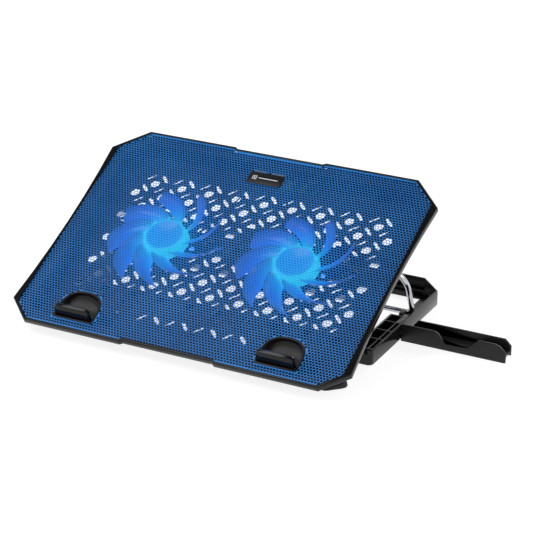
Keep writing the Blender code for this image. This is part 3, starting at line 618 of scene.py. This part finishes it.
def border_triangles(cells, outline, pockets):
    """Triangles between the outermost cells and the sheet's edges."""
    corners = cell_corners()
    grid = {}
    edges = {}
    for u, v in cells.values():
        keys = [(round((u + du) / HOLE_PITCH * 2), round((v + dv) / HOLE_ROW * 3)) for du, dv in corners]
        for key, (du, dv) in zip(keys, corners):
            grid[key] = (u + du, v + dv)
        for a, b in zip(keys, keys[1:] + keys[:1]):
            pair = frozenset((a, b))
            edges[pair] = edges.get(pair, 0) + 1
    points, index, links = [], {}, []
    for pair, count in edges.items():
        if count == 1:
            for key in pair:
                if key not in index:
                    index[key] = len(points)
                    points.append(grid[key])
            links.append(tuple(index[key] for key in pair))
    for loop in [outline] + pockets:
        start = len(points)
        points += loop
        links += [(start + i, start + (i + 1) % len(loop)) for i in range(len(loop))]
    found = delaunay_2d_cdt([Vector(p) for p in points], links, [], 0, 1e-7)
    plane, faces = found[0], found[2]
    centres = set(cells)
    kept = []
    for face in faces:
        u = sum(plane[i][0] for i in face) / len(face)
        v = sum(plane[i][1] for i in face) / len(face)
        if not inside((u, v), outline) or any(inside((u, v), pocket) for pocket in pockets):
            continue
        if not in_cell(u, v, centres, corners):
            kept.append(face)
    return [tuple(p) for p in plane], kept


def in_cell(u, v, centres, corners):
    """True if the point lies in one of the kept cells."""
    row = round(v / HOLE_ROW)
    for r in (row - 1, row, row + 1):
        column = round(u / HOLE_PITCH - 0.5 * (r % 2))
        for c in (column - 1, column, column + 1):
            if (c, r) in centres:
                x, y = (c + 0.5 * (r % 2)) * HOLE_PITCH, r * HOLE_ROW
                if inside((u - x, v - y), corners):
                    return True
    return False


def sheet_part(name, cells, points, triangles, rims):
    """One stretch of the sheet: cells with round holes, plain border, and the sheet's cut edges."""
    top, low = MESH_TOP, MESH_TOP - MESH_THICKNESS
    vertices, faces, index = [], [], {}

    def corner(u, v, w):
        key = (round(u / HOLE_PITCH * 40), round(v / HOLE_ROW * 60), w)
        if key not in index:
            index[key] = len(vertices)
            vertices.append((u, v, w))
        return index[key]

    angles = [math.pi / 2 + 2 * math.pi * k / HOLE_SIDES for k in range(HOLE_SIDES)]
    circle = [(HOLE_RADIUS * math.cos(a), HOLE_RADIUS * math.sin(a)) for a in angles]
    per_side = HOLE_SIDES // 6
    for u, v in cells:
        start = len(vertices)
        vertices.extend((u + du, v + dv, top) for du, dv in circle)
        vertices.extend((u + du, v + dv, low) for du, dv in circle)
        outer = [(corner(u + du, v + dv, top), corner(u + du, v + dv, low)) for du, dv in cell_corners()]
        for k in range(6):
            arc = [start + (k * per_side + j) % HOLE_SIDES for j in range(per_side, -1, -1)]
            (a, a_low), (b, b_low) = outer[k], outer[(k + 1) % 6]
            faces.append((a, b, *arc))
            faces.append((b_low, a_low, *[i + HOLE_SIDES for i in reversed(arc)]))
        for j in range(HOLE_SIDES):
            a, b = start + j, start + (j + 1) % HOLE_SIDES
            faces.append((a, b, b + HOLE_SIDES, a + HOLE_SIDES))
    for face in triangles:
        upper = [corner(*points[i], top) for i in face]
        lower = [corner(*points[i], low) for i in face]
        faces.append(tuple(upper))
        faces.append(tuple(reversed(lower)))
    for a, b in rims:
        faces.append((corner(*a, low), corner(*b, low), corner(*b, top), corner(*a, top)))
    mesh = bpy.data.meshes.new(name)
    mesh.from_pydata(vertices, [], faces)
    mesh.transform(PAD)
    smooth(mesh, 40.0)
    return mesh


def make_sheet():
    """The whole perforated sheet, in a few pieces side by side."""
    outline = pad_outline(MESH_EDGE)
    pockets = [moved(pocket_outline(GAP), u) for u in (-STOPPER_U, STOPPER_U)]
    cells = cell_centres(outline, pockets)
    points, triangles = border_triangles(cells, outline, pockets)
    splits = [PAD_LENGTH * (i / SHEET_PIECES - 0.5) for i in range(1, SHEET_PIECES)]
    bounds = [-PAD_LENGTH, *splits, PAD_LENGTH]
    rims = [(a, b) for loop in [outline] + [list(reversed(p)) for p in pockets]
            for a, b in zip(loop, loop[1:] + loop[:1])]
    for i in range(SHEET_PIECES):
        low, high = bounds[i], bounds[i + 1]
        some = [c for c in cells.values() if low <= c[0] < high]
        flat = [f for f in triangles if low <= sum(points[k][0] for k in f) / len(f) < high]
        edge = [r for r in rims if low <= (r[0][0] + r[1][0]) / 2 < high]
        mesh = sheet_part("mesh_sheet", some, points, flat, edge)
        piece(f"mesh_sheet_{i + 1}", mesh, "mesh_blue", "pad", *(["mesh_panel"] if i == 0 else []))


# ---------------------------------------------------------------- vented cover

def vent_allowed(u, v, reach):
    """True where an air slot has solid floor round it."""
    for side in (-1, 1):
        if math.hypot(u - side * FAN_U, v - FAN_V) < MOTOR_RADIUS + reach:
            return False
        for lamp in (-1, 1):
            if math.hypot(u - side * FAN_U - lamp * LAMP_OFFSET, v - FAN_V) < LAMP_RADIUS + reach:
                return False
        for middle, (half, rear) in ((STOPPER_U, POCKET_BLOCK), (BRACKET_U, BRACKET_BLOCK)):
            if abs(u - side * middle) < half + reach and v < rear + reach:
                return False
    return abs(u) < VENT_HALF_WIDTH - reach / 2 and VENT_FRONT < v < VENT_REAR


def vent_cutters():
    """Prisms for the eight-sided dots, the short diagonal bars between them and a row of long slots."""
    shapes = []

    def cut(outline):
        heights = (COVER_BOTTOM - CUT_MARGIN, COVER_FLOOR + CUT_MARGIN)
        shapes.append(loft([[(x, y, w) for x, y in outline] for w in heights]))

    for row in range(-2, 14):
        for column in range(-11, 12):
            v = VENT_FIRST_ROW + row * VENT_PITCH
            u = column * VENT_PITCH
            if (row + column) % 2 == 0 and vent_allowed(u, v, DOT_RADIUS):
                cut([(u + DOT_RADIUS * math.cos(math.pi * (k + 0.5) / 4),
                      v + DOT_RADIUS * math.sin(math.pi * (k + 0.5) / 4)) for k in range(8)])
            u, v = u + VENT_PITCH / 2, v + VENT_PITCH / 2
            if not vent_allowed(u, v, BAR_LENGTH / 2) or abs(v - SLOT_V) < BAR_LENGTH / 2:
                continue
            turn = math.radians(45 if (row + column) % 2 else -45)
            c, s = math.cos(turn), math.sin(turn)
            a, b = BAR_LENGTH / 2, BAR_WIDTH / 2
            corners = with_cut_corners([(-a, -b), (a, -b), (a, b), (-a, b)])
            cut([(u + x * c - y * s, v + x * s + y * c) for x, y in corners])
    front, rear = SLOT_V - SLOT_HALF, SLOT_V + SLOT_HALF
    for first, last in SLOT_ENDS:
        cut([(first, front), (last, front), (last, rear), (first, rear)])
    return joined(*shapes)


def make_cover():
    """The bottom cover with its air slots cut through."""
    cutter = bpy.data.objects.new("vent_cutter", mesh_from("vent_cutter", *vent_cutters(), PAD))
    bpy.context.scene.collection.objects.link(cutter)
    cut = {"operation": "DIFFERENCE", "object": cutter, "solver": "EXACT"}
    mesh = evaluated(cad_copy("bottom_cover"), "BOOLEAN", cut)
    bpy.data.objects.remove(cutter)
    smooth(mesh, 30.0)
    piece("vented_cover", mesh, "satin_black", "pad", "bottom_cover")


# ---------------------------------------------------------------- stopper pockets

def scoop(v):
    """How far the pocket's floor rises behind the folded stopper."""
    return SCOOP_RISE * max(0.0, (v - SCOOP_START) / SCOOP_LENGTH) ** 1.5


def make_pocket(side, name):
    """Domed cup with a rolled lip and a dished floor that a stopper folds into."""
    floor = pocket_outline(-0.0026)
    loops = []
    for scale in (0.04, 0.2, 0.4, 0.6, 0.8, 1.0):
        ring = [(u * scale, POCKET_MIDDLE + (v - POCKET_MIDDLE) * scale) for u, v in floor]
        loops.append([(u, v, POCKET_FLOOR + 0.0001 * scale + scoop(v)) for u, v in ring])
    # Inner wall: growth of the outline, height above the floor and highest place
    for grow, rise, limit in ((-0.0016, 0.0007, -0.0022), (-0.0012, 0.0022, -0.0018)):
        loops.append([(u, v, min(POCKET_FLOOR + rise + scoop(v), limit))
                      for u, v in pocket_outline(grow)])
    # Lip, outer wall and underside: growth of the outline and height
    sections = [(-0.0012, -0.0010), (-0.0009, -0.0004), (-0.0004, -0.0002), (0.0008, -0.0003),
                (0.0012, -0.0006), (0.0012, -0.0010), (0.0, -0.0010), (0.0, POCKET_FLOOR - 0.0009),
                (-0.0006, POCKET_FLOOR - 0.0013)]
    for grow, w in sections:
        loops.append([(u, v, w) for u, v in pocket_outline(grow)])
    shape = loft([[(u + side * STOPPER_U, v, w) for u, v, w in loop] for loop in loops])
    mesh = mesh_from("pocket", *shape, PAD)
    smooth(mesh, 35.0)
    node = "stopper_pocket_" + name
    piece(node + "_cup", mesh, "satin_black", "pad", node)


# ---------------------------------------------------------------- fans

def blade(index):
    """One steep, swept blade with a rounded section, high at its leading edge."""
    loops = []
    rings = 16
    chord = 12
    root = HUB_TOP_RADIUS - 0.0004
    for i in range(rings + 1):
        t = i / rings
        radius = root + (FAN_RADIUS - root) * t
        centre = index * 2 * math.pi / BLADE_COUNT + math.radians(BLADE_SWEEP) * t ** 1.2
        half = (BLADE_HALF_WIDTH + BLADE_BULGE * math.sin(math.pi * t) - BLADE_TAPER * t ** 3) / radius
        if t > BLADE_TIP:
            half *= math.sqrt(1 - ((t - BLADE_TIP) / (1 - BLADE_TIP)) ** 2 * 0.45)
        upper, lower = [], []
        for j in range(chord + 1):
            s = j / chord
            angle = centre - half + 2 * half * s
            w = BLADE_HIGH + (BLADE_LOW - BLADE_HIGH) * (s + 0.10 * math.sin(2 * math.pi * s))
            thick = BLADE_THICKNESS / 2 * (4 * s * (1 - s)) ** 0.35 * (1 - 0.35 * t)
            x, y = radius * math.cos(angle), radius * math.sin(angle)
            upper.append((x, y, w + thick))
            if 0 < j < chord:
                lower.append((x, y, w - thick))
        loops.append(upper + lower[::-1])
    return loft(loops)


def hub():
    """Tapered cup with a rounded shoulder and a slightly sunken disc on top."""
    top, low, r = HUB_TOP, HUB_BOTTOM, HUB_TOP_RADIUS
    axis, edge = 0.0004, 0.0004
    profile = [(axis, top - HUB_DISH), (r * 0.80, top - HUB_DISH),
               (r * 0.84, top - 0.0002), (r * 0.88, top)]
    steps = 6
    for i in range(steps + 1):
        angle = math.pi / 2 * i / steps
        profile.append((r - HUB_ROUND + HUB_ROUND * math.sin(angle),
                        top - HUB_ROUND + HUB_ROUND * math.cos(angle)))
    outer, inner = HUB_RADIUS, HUB_RADIUS - HUB_WALL
    profile += [(outer - 0.0001, low + edge), (outer - edge, low),
                (inner + edge, low), (inner, low + edge),
                (r - HUB_WALL, top - 0.0030), (r - 0.0026, top - 0.0022), (axis, top - 0.0022)]
    count = 64
    loops = [[(q * math.cos(2 * math.pi * k / count), q * math.sin(2 * math.pi * k / count), w)
              for k in range(count)] for q, w in profile]
    return loft(loops)


def make_fans():
    """Both rotors, each in the frame of its own axle."""
    shape = joined(hub(), *[blade(i) for i in range(BLADE_COUNT)])
    for side, name in ((-1, "left"), (1, "right")):
        mesh = mesh_from("rotor", *shape)
        smooth(mesh, 45.0)
        node = "fan_rotor_" + name
        axle = PAD @ Matrix.Translation((side * FAN_U, FAN_V, 0.0))
        piece("rotor_" + name, mesh, "fan_blue", BODY_OF[node], node, place=axle)


# ---------------------------------------------------------------- wire bail

def arc(x, y, radius, first, last, count):
    """Points of an arc between two angles in degrees."""
    angles = [math.radians(first + (last - first) * i / count) for i in range(count + 1)]
    return [(x + radius * math.cos(a), y + radius * math.sin(a)) for a in angles]


def make_bail():
    """One closed loop of round wire: pivot bar, two bent legs and foot bar."""
    low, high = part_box("bail_wire")
    dy, dz = high.y - low.y - 2 * WIRE_RADIUS, high.z - low.z - 2 * WIRE_RADIUS
    half = (high.x - low.x) / 2 - WIRE_RADIUS
    length = math.hypot(dy, dz)
    pivot = Vector(JOINTS["bail_fold"]["pos_m"])
    turn = Matrix.Translation(pivot) @ Matrix.Rotation(-math.atan2(dz, dy), 4, "X")
    r, c = SHOULDER_RADIUS, BAIL_CORNER_RADIUS
    right = arc(half - r, r, r, -90, 0, 16) + arc(half - c, length - c, c, 0, 90, 10)
    line = right + [(-x, s) for x, s in reversed(right)]
    count = 20
    loops = []
    for i, (x, s) in enumerate(line):
        before, after = line[i - 1], line[(i + 1) % len(line)]
        dx, ds = after[0] - before[0], after[1] - before[1]
        size = math.hypot(dx, ds)
        nx, ns = ds / size, -dx / size
        loop = []
        for k in range(count):
            a = 2 * math.pi * k / count
            out, up = WIRE_RADIUS * math.cos(a), WIRE_RADIUS * math.sin(a)
            loop.append((x + nx * out, s + ns * out, up))
        loops.append(loop)
    mesh = mesh_from("bail", *loft(loops, ring=True), turn)
    smooth(mesh, 60.0)
    piece("bail_loop", mesh, "chrome", "prop_bail", "bail_wire")


# ---------------------------------------------------------------- badge

def make_badge():
    """Name plate with a generic printed mark: a small square ring with a dot in it, and a plain bar."""
    softened("badge", GAP)
    w = MESH_TOP + GAP + BADGE_THICKNESS + PRINT_THICKNESS
    shapes = []

    def bar(u0, u1, v0, v1):
        corners = [(u0, v0), (u1, v0), (u1, v1), (u0, v1)]
        shapes.append(loft([[(x, y, h) for x, y in corners] for h in (w, w + PRINT_THICKNESS)]))

    (u, v), size, line = MARK_PLACE, MARK_HALF, MARK_LINE
    bar(u - size, u + size, v + size - line, v + size)
    bar(u - size, u + size, v - size, v - size + line)
    bar(u - size, u - size + line, v - size + line, v + size - line)
    bar(u + size - line, u + size, v - size + line, v + size - line)
    bar(u - MARK_DOT, u + MARK_DOT, v - MARK_DOT, v + MARK_DOT)
    first, last, front, rear = MARK_BAR
    bar(first, last, v + front, v + rear)
    mesh = mesh_from("badge_mark", *joined(*shapes), PAD)
    piece("badge_mark", mesh, "satin_black", "pad", finish=white_print())


# ---------------------------------------------------------------- stage

def area_light(name, place, size, power):
    """A soft oblong light aimed at the object."""
    light = bpy.data.lights.new(name, "AREA")
    light.shape = "RECTANGLE"
    light.size, light.size_y = size
    light.energy = power
    made = bpy.data.objects.new(name, light)
    made.location = place
    made.rotation_euler = (Vector(LIGHT_TARGET) - Vector(place)).to_track_quat("-Z", "Y").to_euler()
    bpy.context.scene.collection.objects.link(made)


def make_stage():
    """Camera, pale floor, surroundings that darken upwards, and three soft lights."""
    scene = bpy.context.scene
    camera = bpy.data.cameras.new("camera")
    camera.lens = CAMERA_LENS
    camera.sensor_width = SENSOR_WIDTH
    camera.clip_end = 50.0
    holder = bpy.data.objects.new("camera", camera)
    holder.location = CAMERA_PLACE
    holder.rotation_euler = (math.radians(90.0 - CAMERA_ELEVATION), 0.0, math.radians(CAMERA_AZIMUTH))
    scene.collection.objects.link(holder)
    scene.camera = holder
    scene.view_settings.view_transform = "Standard"

    half = FLOOR_HALF
    corners = [(-half, -half, 0.0), (half, -half, 0.0), (half, half, 0.0), (-half, half, 0.0)]
    ground = bpy.data.meshes.new("floor")
    ground.from_pydata(corners, [], [(0, 1, 2, 3)])
    floor = bpy.data.objects.new("floor", ground)
    floor.location.z = -FLOOR_DROP
    paint = Paint("floor_white", 0.9)
    paint.shader.inputs["Base Color"].default_value = FLOOR_COLOUR
    paint.shader.inputs["Specular IOR Level"].default_value = 0.1
    paint.shader.inputs["Emission Color"].default_value = (1.0, 1.0, 1.0, 1.0)
    paint.shader.inputs["Emission Strength"].default_value = FLOOR_GLOW
    ground.materials.append(paint.material)
    scene.collection.objects.link(floor)

    world = bpy.data.worlds.new("studio")
    world.use_nodes = True
    tree = world.node_tree
    place = tree.nodes.new("ShaderNodeTexCoord")
    split = tree.nodes.new("ShaderNodeSeparateXYZ")
    sky = tree.nodes.new("ShaderNodeValToRGB")
    for element, (height, tone) in zip(sky.color_ramp.elements, SKY_STOPS):
        element.position = height
        element.color = (tone, tone, tone, 1.0)
    tree.links.new(place.outputs["Generated"], split.inputs["Vector"])
    tree.links.new(split.outputs["Z"], sky.inputs["Fac"])
    tree.links.new(sky.outputs["Color"], tree.nodes["Background"].inputs["Color"])
    tree.nodes["Background"].inputs["Strength"].default_value = SKY_STRENGTH
    scene.world = world
    for light in LIGHTS:
        area_light(*light)


# ---------------------------------------------------------------- everything

def main():
    """Dress every CAD node and build the finished pieces."""
    make_stage()
    for node, made in frame["nodes"].items():
        made.data.materials.clear()
        made.data.materials.append(SLOT_MATERIAL[SLOT_OF[node]])
    make_sheet()
    make_cover()
    make_fans()
    make_bail()
    make_badge()
    make_pocket(-1, "left")
    make_pocket(1, "right")
    # CAD nodes that keep their shape, with the width of their rounded edges
    softened("top_frame", 0.0004)
    softened("base_frame", 0.0004)
    softened("phone_holder", 0.0005)
    for side in ("left", "right"):
        softened("stopper_" + side, 0.0010, 3)
        softened("pad_foot_" + side, 0.0008)
        softened("hinge_bracket_" + side, 0.0003)
        softened("notch_rack_" + side, 0.0002)
    for place in ("left", "middle", "right"):
        softened("bail_clip_" + place, 0.0004)
    for button in ("fan_button", "light_button"):
        softened(button, 0.0004)


main()
